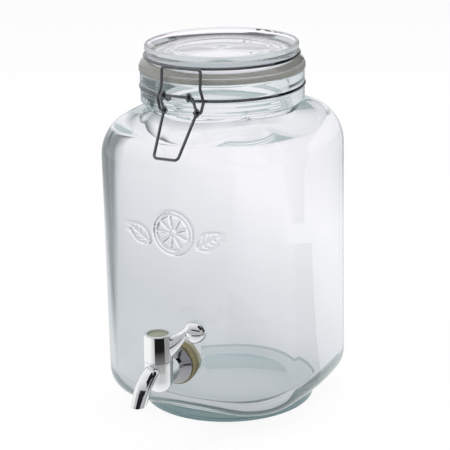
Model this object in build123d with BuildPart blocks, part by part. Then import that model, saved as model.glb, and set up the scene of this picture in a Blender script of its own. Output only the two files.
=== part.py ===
import os
from math import asin, atan2, cos, degrees, hypot, radians, sin, sqrt

from build123d import *

os.makedirs("parts", exist_ok=True)

# Glass drinks dispenser: a rounded-square jar with a clip lid on wire bands and a lever tap.
# Millimetres. Z is up, the jar's axis is Z, the floor is z = 0, and the clasp and tap face -Y.

# Jar body: faces bowed slightly outward between large round corners, on a round foot
body_half_width = 75.5
face_bow_radius = 286.0
body_corner_radius = 42.0
body_height = 205.6
shoulder_radius = 31.0
heel_radius = 19.5
wall = 4.4
floor_thickness = 6.5
foot_radius = 61.0
foot_height = 7.8
push_up_radius = 47.0
push_up_height = 4.5
foot_edge_radius = 1.6
cut_margin = 1.0

# Jar neck: a waist above the shoulder, then a tall collar with a groove for the wire band
waist_radius = 53.0
waist_height = 2.2
collar_lead = 2.4
collar_radius = 56.8
collar_height = 21.0
mouth_radius = 46.5
mouth_edge_radius = 1.2
neck_root = 8.0
neck_band_drop = 10.9

# Wire bands and clasp
wire = 2.0
groove_clearance = 0.15
pin_clearance = 0.1
wire_bend = 2.0
band_knee = 3.4

# Sealing ring and lid
gasket_radius = 57.5
gasket_bore_radius = 47.2
gasket_thickness = 3.6
gasket_edge_radius = 0.8
seal_gap = 0.25
lid_flange_radius = 56.6
lid_flange_edge = 1.8
lid_flange_slope = 3.4
lid_waist_radius = 52.2
lid_band_rise = 6.3
lid_bead_start = 10.2
lid_bead_radius = 53.2
lid_height = 14.0
lid_bead_lead = 1.0
lid_rim_round = 0.8
lid_rim_width = 2.2
lid_dish_foot_radius = 46.0
lid_dish_depth = 4.4
lid_crown = 0.9
lid_panel = 4.6
lid_plug_clearance = 0.9
lid_plug_wall = 3.8
lid_plug_depth = 5.0

# Rear hinge of the lid
hinge_gap = 7.2
hinge_rise = 1.0
hinge_eye_spread = 7.0
hinge_arm_spread = 11.2
hinge_leg_step = 0.5

# Clasp: the lever turns in two eyes of the neck band and carries the yoke on two eyes of its own
lever_pivot_gap = 8.9
lever_pivot_rise = 4.4
lever_eye_spread = 9.5
link_eye_spread = 12.4
link_inset = 5.2
link_drop = 11.5
lever_length = 34.94
lever_shoulder_gap = 4.58
lever_grip_spread = 9.0
lever_grip_bend = 3.0
yoke_bar_gap = 0.35
yoke_bar_spread = 14.6
yoke_hip_spread = 17.4
yoke_foot_spread = 15.4
yoke_prong_spread = 10.0
yoke_hip_share = 0.27
yoke_shoulder_share = 0.56
yoke_bar_rise = 0.6
yoke_hip_bend = 3.0

# Tap seat and its clamped stack
tap_height = 48.5
stem_reach = 17.3
tap_hole_radius = 8.5
tap_seat_radius = 17.0
tap_seat_depth = 0.5
inner_seat_depth = 0.3
stem_radius = 7.6
stem_tail = 4.0
stem_bore_radius = 4.2
outer_washer_radius = 15.3
outer_washer_thickness = 3.5
washer_clearance = 0.15
washer_edge_radius = 0.6
inner_washer_radius = 14.6
inner_washer_thickness = 2.5
lock_nut_flats = 25.0
lock_nut_thickness = 8.0
lock_nut_chamfer = 0.8
thread_clearance = 0.1
flange_radius = 14.2
flange_rim = 1.6
flange_dome = 2.6
flange_edge_radius = 0.5
stem_collar_radius = 9.0

# Tap body
barrel_radius = 9.65
barrel_rise = 10.4
barrel_drop = 12.2
barrel_bottom_round = 9.3
elbow_radius = 9.4
elbow_reach = 9.2
elbow_edge_round = 1.4
spout_rise = 4.1
spout_radius = 5.5
spout_bore_radius = 3.6
spout_knee_reach = 12.5
spout_bow_reach = 21.5
spout_bow_drop = 2.5
spout_tip_reach = 30.0
spout_tip_drop = 15.1
spout_end_drop = 12.5
spout_bend = 12.0
spout_tip_radius = 4.8
spout_taper_share = 0.3

# Valve inside the tap body
plug_radius = 6.5
running_clearance = 0.08
plug_foot_gap = 0.4
chamber_drop = 7.7
plug_port_rise = 1.8
plug_port_radius = 3.9
plug_stem_radius = 4.5
plug_stem_rise = 9.7
seal_ring_section = 0.75
seal_ring_squeeze = 0.03
seal_groove_depth = 1.45
seal_groove_width = 1.8
upper_seal_rise = 7.4
lower_seal_drop = 5.1
gland_thickness = 1.6
gland_radius = 7.9
gland_clearance = 0.1

# Tap handle
handle_gap = 0.3
hub_height = 18.6
hub_foot_radius = 9.8
hub_top_radius = 9.4
hub_edge_round = 0.5
hub_recess_radius = 7.3
hub_recess_depth = 2.6
hub_web = 3.0
hub_cap_clearance = 0.05
hub_cap_thickness = 1.5
hub_cap_round = 0.4
screw_head_radius = 3.4
screw_head_height = 2.4
screw_radius = 1.9
screw_length = 11.0
screw_slot_width = 1.0
screw_slot_depth = 1.1
screw_clearance = 0.15
arm_angle = 20.0
arm_length = 25.2
arm_rise = 11.3
arm_root_height = 16.8
arm_root_width = 9.6
arm_waist_height = 12.6
arm_waist_width = 8.6
arm_tip_height = 11.0
arm_tip_width = 9.6
arm_root_reach = 8.0
arm_waist_share = 0.52
arm_waist_rise_share = 0.38
knob_radius = 8.0
knob_seat = 5.6
spigot_radius = 2.4
spigot_length = 4.0
spigot_clearance = 0.08

# Levels and places worked out from the sizes above
shoulder_top = foot_height + body_height
push_up_curve = (push_up_radius**2 + push_up_height**2) / (2 * push_up_height)
mouth_top = shoulder_top + waist_height + collar_lead + collar_height
neck_band_z = mouth_top - neck_band_drop
wire_radius = wire / 2
neck_band_radius = collar_radius - groove_clearance
lid_base = mouth_top + gasket_thickness + seal_gap
lid_band_z = lid_base + lid_band_rise
lid_band_radius = lid_waist_radius + groove_clearance + wire_radius
eye_radius = wire_radius + pin_clearance + wire_radius
hinge_reach = collar_radius + hinge_gap
hinge_z = mouth_top + hinge_rise
lever_pivot_reach = collar_radius + lever_pivot_gap
lever_pivot_z = neck_band_z + lever_pivot_rise
link_y = link_inset - lever_pivot_reach
link_z = lever_pivot_z - link_drop
yoke_bar_y = -(lid_flange_radius + yoke_bar_gap + wire_radius)
yoke_bar_z = lid_band_z + yoke_bar_rise
outer_seat_y = -(body_half_width - tap_seat_depth)
inner_seat_y = -(body_half_width - wall + inner_seat_depth)
flange_y = outer_seat_y - outer_washer_thickness
flange_front_y = flange_y - flange_rim - flange_dome
tap_reach = stem_reach - flange_front_y
barrel_top = tap_height + barrel_rise
barrel_bottom = tap_height - barrel_drop
chamber_floor = tap_height - chamber_drop
spout_height = tap_height + spout_rise


def between(start, end, share):
    return start + (end - start) * share


def face_outline(inset):
    # Four bowed faces cut from circles, with round corners, all drawn in by the inset.
    bow = face_bow_radius - inset
    centre = face_bow_radius - body_half_width
    with BuildSketch() as outline:
        with Locations((-centre, 0)):
            Circle(bow)
        for place in [(centre, 0), (0, -centre), (0, centre)]:
            with Locations(place):
                Circle(bow, mode=Mode.INTERSECT)
        fillet(outline.vertices(), body_corner_radius - inset)
    return outline.sketch


def wire_along(points, bends):
    with BuildPart() as bar:
        with BuildLine() as path:
            FilletPolyline(*points, radius=bends)
        with BuildSketch(Plane(origin=path.line @ 0, z_dir=path.line % 0)):
            Circle(wire_radius)
        sweep(path=path.line)
    return bar.part


def eye_ring(place):
    with BuildPart() as eye:
        with Locations(Plane(origin=place, z_dir=(1, 0, 0))):
            Torus(eye_radius, wire_radius)
    return eye.part


def toward(start, end, reach):
    step = Vector(*end) - Vector(*start)
    return tuple(Vector(*start) + step.normalized() * reach)


def tap_ring(radius, bore, near_y, thickness):
    # A ring on the tap's stem, from near_y away from the jar's axis.
    with BuildPart() as ring:
        with BuildSketch(Plane.XZ.offset(-near_y)):
            with Locations((0, tap_height)):
                Circle(radius)
                Circle(bore, mode=Mode.SUBTRACT)
        extrude(amount=thickness)
    return ring.part


# Hollow of the jar, the space that the drink fills
with BuildPart() as hollow:
    with BuildSketch(Plane.XY.offset(foot_height + floor_thickness)):
        add(face_outline(wall))
    extrude(amount=body_height - floor_thickness - wall)
    fillet(hollow.edges().group_by(Axis.Z)[-1], shoulder_radius - wall)
    fillet(hollow.edges().group_by(Axis.Z)[0], heel_radius - wall)
    with BuildSketch(Plane.XY.offset(shoulder_top - shoulder_radius)):
        Circle(mouth_radius)
    extrude(amount=mouth_top - shoulder_top + shoulder_radius)

# Glass jar: body, foot ring, neck and collar, with flat seats and a hole for the tap
groove_half = wire_radius + groove_clearance
groove_floor = neck_band_radius - groove_half
with BuildPart() as jar:
    with BuildSketch(Plane.XY.offset(foot_height)):
        add(face_outline(0))
    extrude(amount=body_height)
    fillet(jar.edges().group_by(Axis.Z)[-1], shoulder_radius)
    fillet(jar.edges().group_by(Axis.Z)[0], heel_radius)
    with BuildSketch(Plane.XZ):
        with BuildLine():
            Polyline(
                (0, shoulder_top - neck_root),
                (waist_radius, shoulder_top - neck_root),
                (waist_radius, shoulder_top + waist_height),
                (collar_radius, shoulder_top + waist_height + collar_lead),
                (collar_radius, neck_band_z - groove_half),
                (groove_floor, neck_band_z - groove_half),
                (groove_floor, neck_band_z + groove_half),
                (collar_radius, neck_band_z + groove_half),
                (collar_radius, mouth_top),
                (0, mouth_top),
                close=True,
            )
        make_face()
    revolve(axis=Axis.Z)
    with BuildSketch():
        Circle(foot_radius)
    extrude(amount=foot_height + floor_thickness)
    fillet(jar.edges().group_by(Axis.Z)[0], foot_edge_radius)
    add(hollow.part, mode=Mode.SUBTRACT)
    fillet(jar.faces().sort_by(Axis.Z)[-1].edges(), mouth_edge_radius)
    with Locations((0, 0, push_up_height - push_up_curve)):
        Sphere(push_up_curve, mode=Mode.SUBTRACT)
    with BuildSketch(Plane.XZ.offset(-outer_seat_y)):
        with Locations((0, tap_height)):
            Circle(tap_seat_radius)
    extrude(amount=tap_seat_radius, mode=Mode.SUBTRACT)
    with BuildSketch(Plane.XZ.offset(-inner_seat_y)):
        with Locations((0, tap_height)):
            Circle(tap_seat_radius)
    extrude(amount=-tap_seat_radius, mode=Mode.SUBTRACT)
    with BuildSketch(Plane.XZ.offset(-inner_seat_y)):
        with Locations((0, tap_height)):
            Circle(tap_hole_radius)
    extrude(amount=wall, mode=Mode.SUBTRACT)

# The one piece of glass is kept as base, wall and neck, which meet face to face on two level planes
base_top = Plane.XY.offset(foot_height + floor_thickness + heel_radius - wall + cut_margin)
wall_top = Plane.XY.offset(shoulder_top - shoulder_radius - cut_margin)
with BuildPart() as jar_base:
    add(jar.part)
    split(bisect_by=base_top, keep=Keep.BOTTOM)
jar_base.part.label = "jar_base"
export_step(jar_base.part, "parts/jar_base.step")

with BuildPart() as jar_wall:
    add(jar.part)
    split(bisect_by=base_top, keep=Keep.TOP)
    split(bisect_by=wall_top, keep=Keep.BOTTOM)
jar_wall.part.label = "jar_wall"
export_step(jar_wall.part, "parts/jar_wall.step")

with BuildPart() as jar_neck:
    add(jar.part)
    split(bisect_by=wall_top, keep=Keep.TOP)
jar_neck.part.label = "jar_neck"
export_step(jar_neck.part, "parts/jar_neck.step")

# Rubber sealing ring that lies on the jar's mouth
with BuildPart() as lid_gasket:
    with BuildSketch(Plane.XY.offset(mouth_top)):
        Circle(gasket_radius)
        Circle(gasket_bore_radius, mode=Mode.SUBTRACT)
    extrude(amount=gasket_thickness)
    fillet(lid_gasket.edges().filter_by(GeomType.CIRCLE), gasket_edge_radius)
lid_gasket.part.label = "lid_gasket"
export_step(lid_gasket.part, "parts/lid_gasket.step")

# Glass lid: flange over the seal, waist for the wire band, rim bead, dished top, plug ring below
lid_plug_radius = mouth_radius - lid_plug_clearance
lid_top = lid_base + lid_height
dish_z = lid_top - lid_dish_depth
under_z = dish_z - lid_panel
with BuildPart() as lid:
    with BuildSketch(Plane.XZ):
        with BuildLine():
            Polyline(
                (0, under_z + lid_crown),
                (lid_plug_radius - lid_plug_wall, under_z),
                (lid_plug_radius - lid_plug_wall, lid_base - lid_plug_depth),
                (lid_plug_radius, lid_base - lid_plug_depth),
                (lid_plug_radius, lid_base),
                (lid_flange_radius, lid_base),
                (lid_flange_radius, lid_base + lid_flange_edge),
                (lid_waist_radius, lid_base + lid_flange_edge + lid_flange_slope),
                (lid_waist_radius, lid_base + lid_bead_start),
                (lid_bead_radius, lid_base + lid_bead_start + lid_bead_lead),
                (lid_bead_radius, lid_top),
                (lid_bead_radius - lid_rim_width, lid_top),
                (lid_dish_foot_radius, dish_z),
                (0, dish_z + lid_crown),
                close=True,
            )
        make_face()
    revolve(axis=Axis.Z)
    fillet(lid.faces().sort_by(Axis.Z)[-1].edges(), lid_rim_round)
lid.part.label = "lid"
export_step(lid.part, "parts/lid.step")

# Wire band around the neck, with two eyes for the lever in front and two for the hinge behind
knee_reach = neck_band_radius + band_knee
turn_x = lever_eye_spread + wire_bend
turn_y = -sqrt((neck_band_radius + wire_bend) ** 2 - turn_x**2)
turn_angle = degrees(atan2(-turn_y, turn_x))
front_ends = []
for side in (-1, 1):
    lever_eye = (side * lever_eye_spread, -lever_pivot_reach, lever_pivot_z)
    front_knee = (side * lever_eye_spread, -knee_reach, neck_band_z)
    front_turn = (side * lever_eye_spread, turn_y, neck_band_z)
    front_ends.append((toward(lever_eye, front_knee, eye_radius), front_knee, front_turn))
with BuildPart() as neck_ring:
    with BuildLine() as band_path:
        FilletPolyline(*front_ends[1], radius=wire_bend)
        CenterArc((turn_x, turn_y, neck_band_z), wire_bend, 180, -turn_angle)
        CenterArc((0, 0, neck_band_z), neck_band_radius, -turn_angle, 180 + 2 * turn_angle)
        CenterArc((-turn_x, turn_y, neck_band_z), wire_bend, turn_angle, -turn_angle)
        FilletPolyline(*front_ends[0][::-1], radius=wire_bend)
    with BuildSketch(Plane(origin=band_path.line @ 0, z_dir=band_path.line % 0)):
        Circle(wire_radius)
    sweep(path=band_path.line)
rear_y = neck_band_radius * cos(asin(hinge_eye_spread / neck_band_radius)) + hinge_leg_step
neck_wires = []
for side in (-1, 1):
    neck_wires.append(eye_ring((side * lever_eye_spread, -lever_pivot_reach, lever_pivot_z)))
    hinge_eye = (side * hinge_eye_spread, hinge_reach, hinge_z)
    rear_root = (side * hinge_eye_spread, rear_y, neck_band_z)
    rear_knee = (side * hinge_eye_spread, knee_reach, neck_band_z)
    rear_end = toward(hinge_eye, rear_knee, eye_radius)
    neck_wires += [eye_ring(hinge_eye), wire_along([rear_root, rear_knee, rear_end], wire_bend)]
with BuildPart() as neck_band:
    add(neck_ring.part)
    for piece in neck_wires:
        add(piece)
neck_band.part.label = "neck_band"
export_step(neck_band.part, "parts/neck_band.step")

# Wire band around the lid, whose rear arms carry the hinge bar through the neck band's eyes
arm_y = lid_band_radius * cos(asin(hinge_arm_spread / lid_band_radius))
hinge_bar = wire_along(
    [
        (-hinge_arm_spread, arm_y, lid_band_z),
        (-hinge_arm_spread, hinge_reach, hinge_z),
        (hinge_arm_spread, hinge_reach, hinge_z),
        (hinge_arm_spread, arm_y, lid_band_z),
    ],
    wire_bend,
)
with BuildPart() as lid_band:
    with Locations((0, 0, lid_band_z)):
        Torus(lid_band_radius, wire_radius)
    add(hinge_bar)
lid_band.part.label = "lid_band"
export_step(lid_band.part, "parts/lid_band.step")

# Clasp lever: a wire grip below the two link eyes, and above them a bar through the neck band's eyes.
# The grip hangs on a line that passes the rounded shoulder at a set gap.
shoulder_y = shoulder_radius - body_half_width - link_y
shoulder_z = shoulder_top - shoulder_radius - link_z
shoulder_pass = shoulder_radius + lever_shoulder_gap + wire_radius
grip_angle = atan2(shoulder_z, shoulder_y) - asin(shoulder_pass / hypot(shoulder_y, shoulder_z))
grip_y = link_y + lever_length * cos(grip_angle)
grip_z = link_z + lever_length * sin(grip_angle)
link_eyes = [(side * link_eye_spread, link_y, link_z) for side in (-1, 1)]
grip_ends = [(side * lever_grip_spread, grip_y, grip_z) for side in (-1, 1)]
bar_ends = [(side * link_eye_spread, -lever_pivot_reach, lever_pivot_z) for side in (-1, 1)]
lever_wires = [eye_ring(eye) for eye in link_eyes]
for corners, bend in ((grip_ends, lever_grip_bend), (bar_ends, wire_bend)):
    ends = [toward(eye, corner, eye_radius) for eye, corner in zip(link_eyes, corners)]
    lever_wires.append(wire_along([ends[0], corners[0], corners[1], ends[1]], bend))
with BuildPart() as clasp_lever:
    for piece in lever_wires:
        add(piece)
clasp_lever.part.label = "clasp_lever"
export_step(clasp_lever.part, "parts/clasp_lever.step")

# Clasp yoke: a flared wire loop from the lever's link eyes up to the bar in front of the lid
yoke_side = []
for spread, share in (
    (yoke_prong_spread, 0),
    (yoke_foot_spread, 0),
    (yoke_hip_spread, yoke_hip_share),
    (yoke_bar_spread, yoke_shoulder_share),
    (yoke_bar_spread, 1),
):
    yoke_side.append((spread, between(link_y, yoke_bar_y, share), between(link_z, yoke_bar_z, share)))
yoke_points = [(-x, y, z) for x, y, z in yoke_side] + yoke_side[::-1]
side_bends = [wire_bend, yoke_hip_bend, yoke_hip_bend, wire_bend]
yoke_wire = wire_along(yoke_points, side_bends + side_bends[::-1])
with BuildPart() as clasp_yoke:
    add(yoke_wire)
clasp_yoke.part.label = "clasp_yoke"
export_step(clasp_yoke.part, "parts/clasp_yoke.step")

# Rubber washers outside and inside the glass, and the lock nut that clamps them
inner_washer_y = inner_seat_y + inner_washer_thickness
nut_y = inner_washer_y + lock_nut_thickness
stem_end_y = nut_y + stem_tail
washer_bore = stem_radius + washer_clearance
with BuildPart() as outer_washer:
    add(tap_ring(outer_washer_radius, washer_bore, outer_seat_y, outer_washer_thickness))
    fillet(outer_washer.edges().filter_by(GeomType.CIRCLE), washer_edge_radius)
outer_washer.part.label = "outer_washer"
export_step(outer_washer.part, "parts/outer_washer.step")

with BuildPart() as inner_washer:
    add(tap_ring(inner_washer_radius, washer_bore, inner_washer_y, inner_washer_thickness))
    fillet(inner_washer.edges().filter_by(GeomType.CIRCLE), washer_edge_radius)
inner_washer.part.label = "inner_washer"
export_step(inner_washer.part, "parts/inner_washer.step")

with BuildPart() as lock_nut:
    with BuildSketch(Plane.XZ.offset(-nut_y)):
        with Locations((0, tap_height)):
            RegularPolygon(lock_nut_flats / 2, 6, major_radius=False)
            Circle(stem_radius + thread_clearance, mode=Mode.SUBTRACT)
    extrude(amount=lock_nut_thickness)
    chamfer(lock_nut.faces().sort_by(Axis.Y)[-1].outer_wire().edges(), lock_nut_chamfer)
lock_nut.part.label = "lock_nut"
export_step(lock_nut.part, "parts/lock_nut.step")

# Polished flange that covers the outer washer
with BuildPart() as tap_flange:
    with BuildSketch(Plane.YZ):
        with BuildLine():
            Polyline(
                (flange_y, tap_height + stem_radius + thread_clearance),
                (flange_y, tap_height + flange_radius),
                (flange_y - flange_rim, tap_height + flange_radius),
                (flange_front_y, tap_height + stem_collar_radius),
                (flange_front_y, tap_height + stem_radius + thread_clearance),
                close=True,
            )
        make_face()
    revolve(axis=Axis((0, 0, tap_height), (0, 1, 0)))
    fillet(tap_flange.edges().filter_by(GeomType.CIRCLE).group_by(SortBy.RADIUS)[-1], flange_edge_radius)
tap_flange.part.label = "tap_flange"
export_step(tap_flange.part, "parts/tap_flange.step")

# Tap body: threaded stem, elbow, upright valve barrel and a spout that bends down to a level end
spout_start = (0, -tap_reach, spout_height)
spout_knee = (0, -tap_reach - spout_knee_reach, spout_height)
spout_bow = (0, -tap_reach - spout_bow_reach, tap_height - spout_bow_drop)
spout_tip = (0, -tap_reach - spout_tip_reach, tap_height - spout_tip_drop)
spout_cone = tuple(between(Vector(*spout_bow), Vector(*spout_tip), spout_taper_share))
spout_run = Vector(*spout_tip) - Vector(*spout_bow)
chamber_radius = plug_radius + running_clearance
with BuildPart() as tap_body:
    with BuildSketch(Plane.XY.offset(barrel_bottom)):
        with Locations((0, -tap_reach)):
            Circle(barrel_radius)
    extrude(amount=barrel_top - barrel_bottom)
    fillet(tap_body.edges().group_by(Axis.Z)[0], barrel_bottom_round)
    with BuildSketch(Plane.XZ.offset(tap_reach)):
        with Locations((0, tap_height)):
            Circle(elbow_radius)
    extrude(amount=-elbow_reach)
    fillet(tap_body.faces().sort_by(Axis.Y)[-1].edges(), elbow_edge_round)
    with BuildSketch(Plane.XZ.offset(tap_reach)):
        with Locations((0, tap_height)):
            Circle(stem_collar_radius)
    extrude(amount=flange_front_y + tap_reach, dir=(0, 1, 0))
    with BuildSketch(Plane.XZ.offset(tap_reach)):
        with Locations((0, tap_height)):
            Circle(stem_radius)
    extrude(amount=stem_end_y + tap_reach, dir=(0, 1, 0))
    with BuildLine() as spout_path:
        FilletPolyline(spout_start, spout_knee, spout_bow, spout_cone, radius=spout_bend)
    with BuildSketch(Plane(origin=spout_start, z_dir=(0, -1, 0))):
        Circle(spout_radius)
    sweep(path=spout_path.line)
    with BuildSketch(Plane(origin=spout_cone, z_dir=spout_run)):
        Circle(spout_radius)
    with BuildSketch(Plane(origin=spout_tip, z_dir=spout_run)):
        Circle(spout_tip_radius)
    loft()
    split(bisect_by=Plane.XY.offset(tap_height - spout_end_drop), keep=Keep.TOP)
    with BuildSketch(Plane.XZ.offset(-stem_end_y)):
        with Locations((0, tap_height)):
            Circle(stem_bore_radius)
    extrude(amount=stem_end_y + tap_reach, mode=Mode.SUBTRACT)
    with BuildLine() as bore_path:
        FilletPolyline(spout_start, spout_knee, spout_bow, spout_tip, radius=spout_bend)
    with BuildSketch(Plane(origin=spout_start, z_dir=(0, -1, 0))):
        Circle(spout_bore_radius)
    sweep(path=bore_path.line, mode=Mode.SUBTRACT)
    with BuildSketch(Plane.XY.offset(chamber_floor)):
        with Locations((0, -tap_reach)):
            Circle(chamber_radius)
    extrude(amount=barrel_top - chamber_floor, mode=Mode.SUBTRACT)
    with BuildSketch(Plane.XY.offset(barrel_top)):
        with Locations((0, -tap_reach)):
            Circle(gland_radius + gland_clearance)
    extrude(amount=-gland_thickness, mode=Mode.SUBTRACT)
tap_body.part.label = "tap_body"
export_step(tap_body.part, "parts/tap_body.step")

# Gland ring that keeps the valve plug in its barrel
with BuildPart() as gland_ring:
    with BuildSketch(Plane.XY.offset(barrel_top)):
        with Locations((0, -tap_reach)):
            Circle(gland_radius)
            Circle(plug_stem_radius + running_clearance, mode=Mode.SUBTRACT)
    extrude(amount=-gland_thickness)
gland_ring.part.label = "gland_ring"
export_step(gland_ring.part, "parts/gland_ring.step")

# Valve plug: its cross port lies along X when shut, and along the stem after a quarter turn
plug_foot = chamber_floor + plug_foot_gap
plug_shoulder = barrel_top - gland_thickness - plug_foot_gap
plug_top = plug_shoulder + plug_stem_rise
hub_base = barrel_top + handle_gap
hub_top = hub_base + hub_height
web_top = plug_top + screw_clearance + hub_web
screw_tip = web_top - screw_length
groove_radius = plug_radius - seal_groove_depth
upper_seal_z = tap_height + upper_seal_rise
lower_seal_z = tap_height - lower_seal_drop
with BuildPart() as valve_plug:
    with BuildSketch(Plane.XY.offset(plug_foot)):
        with Locations((0, -tap_reach)):
            Circle(plug_radius)
    extrude(amount=plug_shoulder - plug_foot)
    with BuildSketch(Plane.XY.offset(plug_foot)):
        with Locations((0, -tap_reach)):
            Circle(plug_stem_radius)
    extrude(amount=plug_top - plug_foot)
    for height in (lower_seal_z, upper_seal_z):
        with BuildSketch(Plane.XY.offset(height - seal_groove_width / 2)):
            with Locations((0, -tap_reach)):
                Circle(barrel_radius)
                Circle(groove_radius, mode=Mode.SUBTRACT)
        extrude(amount=seal_groove_width, mode=Mode.SUBTRACT)
    with BuildSketch(Plane.YZ):
        with Locations((-tap_reach, tap_height + plug_port_rise)):
            Circle(plug_port_radius)
    extrude(amount=barrel_radius, both=True, mode=Mode.SUBTRACT)
    with BuildSketch(Plane.XY.offset(screw_tip - plug_foot_gap)):
        with Locations((0, -tap_reach)):
            Circle(screw_radius + thread_clearance)
    extrude(amount=plug_top - screw_tip + plug_foot_gap, mode=Mode.SUBTRACT)
valve_plug.part.label = "valve_plug"
export_step(valve_plug.part, "parts/valve_plug.step")

# Rubber seal rings in the plug's two grooves
seal_ring_radius = chamber_radius - seal_ring_squeeze - seal_ring_section
with BuildPart() as lower_seal:
    with Locations((0, -tap_reach, lower_seal_z)):
        Torus(seal_ring_radius, seal_ring_section)
lower_seal.part.label = "lower_seal"
export_step(lower_seal.part, "parts/lower_seal.step")

with BuildPart() as upper_seal:
    with Locations((0, -tap_reach, upper_seal_z)):
        Torus(seal_ring_radius, seal_ring_section)
upper_seal.part.label = "upper_seal"
export_step(upper_seal.part, "parts/upper_seal.step")

# Tap handle: a hub over the plug's stem and an arm that thins and rises to the knob
arm_out = Vector(cos(radians(arm_angle)), sin(radians(arm_angle)), 0)
arm_across = (-arm_out.Y, arm_out.X, 0)
hub_middle = hub_base + hub_height / 2
arm_tip_reach = arm_length - knob_seat


def arm_plane(reach, rise):
    place = Vector(0, -tap_reach, hub_middle + rise) + arm_out * reach
    return Plane(origin=place, x_dir=arm_across, z_dir=arm_out)


tip_plane = arm_plane(arm_tip_reach, arm_rise)
with BuildPart() as tap_handle:
    with BuildSketch(Plane.XY.offset(hub_base)):
        with Locations((0, -tap_reach)):
            Circle(hub_foot_radius)
    with BuildSketch(Plane.XY.offset(hub_top)):
        with Locations((0, -tap_reach)):
            Circle(hub_top_radius)
    loft()
    fillet(tap_handle.edges().group_by(Axis.Z)[-1], hub_edge_round)
    with BuildSketch(arm_plane(arm_root_reach, 0)):
        Ellipse(arm_root_width / 2, arm_root_height / 2)
    waist_reach = between(arm_root_reach, arm_tip_reach, arm_waist_share)
    with BuildSketch(arm_plane(waist_reach, arm_rise * arm_waist_rise_share)):
        Ellipse(arm_waist_width / 2, arm_waist_height / 2)
    with BuildSketch(tip_plane):
        Ellipse(arm_tip_width / 2, arm_tip_height / 2)
    loft()
    with BuildSketch(tip_plane):
        Circle(spigot_radius)
    extrude(amount=spigot_length)
    for radius, low, high in (
        (plug_stem_radius + running_clearance, hub_base, plug_top + screw_clearance),
        (screw_radius + screw_clearance, plug_top, web_top),
        (screw_head_radius + screw_clearance, web_top, hub_top),
        (hub_recess_radius, hub_top - hub_recess_depth, hub_top),
    ):
        with BuildSketch(Plane.XY.offset(low)):
            with Locations((0, -tap_reach)):
                Circle(radius)
        extrude(amount=high - low, mode=Mode.SUBTRACT)
tap_handle.part.label = "tap_handle"
export_step(tap_handle.part, "parts/tap_handle.step")

# Ball knob on the arm's spigot
with BuildPart() as handle_knob:
    with Locations(tip_plane.origin + arm_out * knob_seat):
        Sphere(knob_radius)
    split(bisect_by=tip_plane, keep=Keep.TOP)
    with BuildSketch(tip_plane):
        Circle(spigot_radius + spigot_clearance)
    extrude(amount=spigot_length + spigot_clearance, mode=Mode.SUBTRACT)
handle_knob.part.label = "handle_knob"
export_step(handle_knob.part, "parts/handle_knob.step")

# Slotted screw that holds the handle on the plug
with BuildPart() as handle_screw:
    with BuildSketch(Plane.XY.offset(web_top)):
        with Locations((0, -tap_reach)):
            Circle(screw_head_radius)
    extrude(amount=screw_head_height)
    with BuildSketch(Plane.XY.offset(web_top + screw_head_height)):
        with Locations((0, -tap_reach)):
            Rectangle(2 * screw_head_radius, screw_slot_width)
    extrude(amount=-screw_slot_depth, mode=Mode.SUBTRACT)
    with BuildSketch(Plane.XY.offset(web_top)):
        with Locations((0, -tap_reach)):
            Circle(screw_radius)
    extrude(amount=-screw_length)
handle_screw.part.label = "handle_screw"
export_step(handle_screw.part, "parts/handle_screw.step")

# Coloured cap pressed into the hub's recess, over the screw
with BuildPart() as hub_cap:
    with BuildSketch(Plane.XY.offset(hub_top - hub_recess_depth)):
        with Locations((0, -tap_reach)):
            Circle(hub_recess_radius - hub_cap_clearance)
    extrude(amount=hub_cap_thickness)
    fillet(hub_cap.edges().group_by(Axis.Z)[-1], hub_cap_round)
hub_cap.part.label = "hub_cap"
export_step(hub_cap.part, "parts/hub_cap.step")
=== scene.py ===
import math

import bpy
import numpy as np
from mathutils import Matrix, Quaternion, Vector


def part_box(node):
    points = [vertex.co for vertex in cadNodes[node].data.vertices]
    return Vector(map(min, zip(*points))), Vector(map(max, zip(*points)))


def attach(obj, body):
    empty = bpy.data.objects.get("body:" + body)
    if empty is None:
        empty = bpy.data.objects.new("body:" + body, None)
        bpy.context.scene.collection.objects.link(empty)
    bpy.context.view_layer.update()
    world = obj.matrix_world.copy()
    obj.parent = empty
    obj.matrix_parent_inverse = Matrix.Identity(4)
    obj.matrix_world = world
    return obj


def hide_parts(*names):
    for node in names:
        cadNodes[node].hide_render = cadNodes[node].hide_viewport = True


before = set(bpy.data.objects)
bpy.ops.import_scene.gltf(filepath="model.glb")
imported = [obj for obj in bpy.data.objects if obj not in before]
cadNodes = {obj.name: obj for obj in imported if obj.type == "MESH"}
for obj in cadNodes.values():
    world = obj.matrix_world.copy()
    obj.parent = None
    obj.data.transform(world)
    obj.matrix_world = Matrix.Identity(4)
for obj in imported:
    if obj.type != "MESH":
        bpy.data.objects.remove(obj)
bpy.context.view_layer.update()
scene = bpy.context.scene
mm = 0.001
print("frame loaded with", len(cadNodes), "nodes")


# Mesh helpers

nearlyStraight = math.pi - 0.01
sharpAngle = math.radians(40)


def smoothStep(low, high, value):
    # Cubic ease from 0 at low to 1 at high.
    share = np.clip((value - low) / (high - low), 0.0, 1.0)
    return share * share * (3.0 - 2.0 * share)


def shares(count):
    # A column of that many even steps from 0 to 1.
    return np.linspace(0.0, 1.0, count)[:, None]


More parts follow.
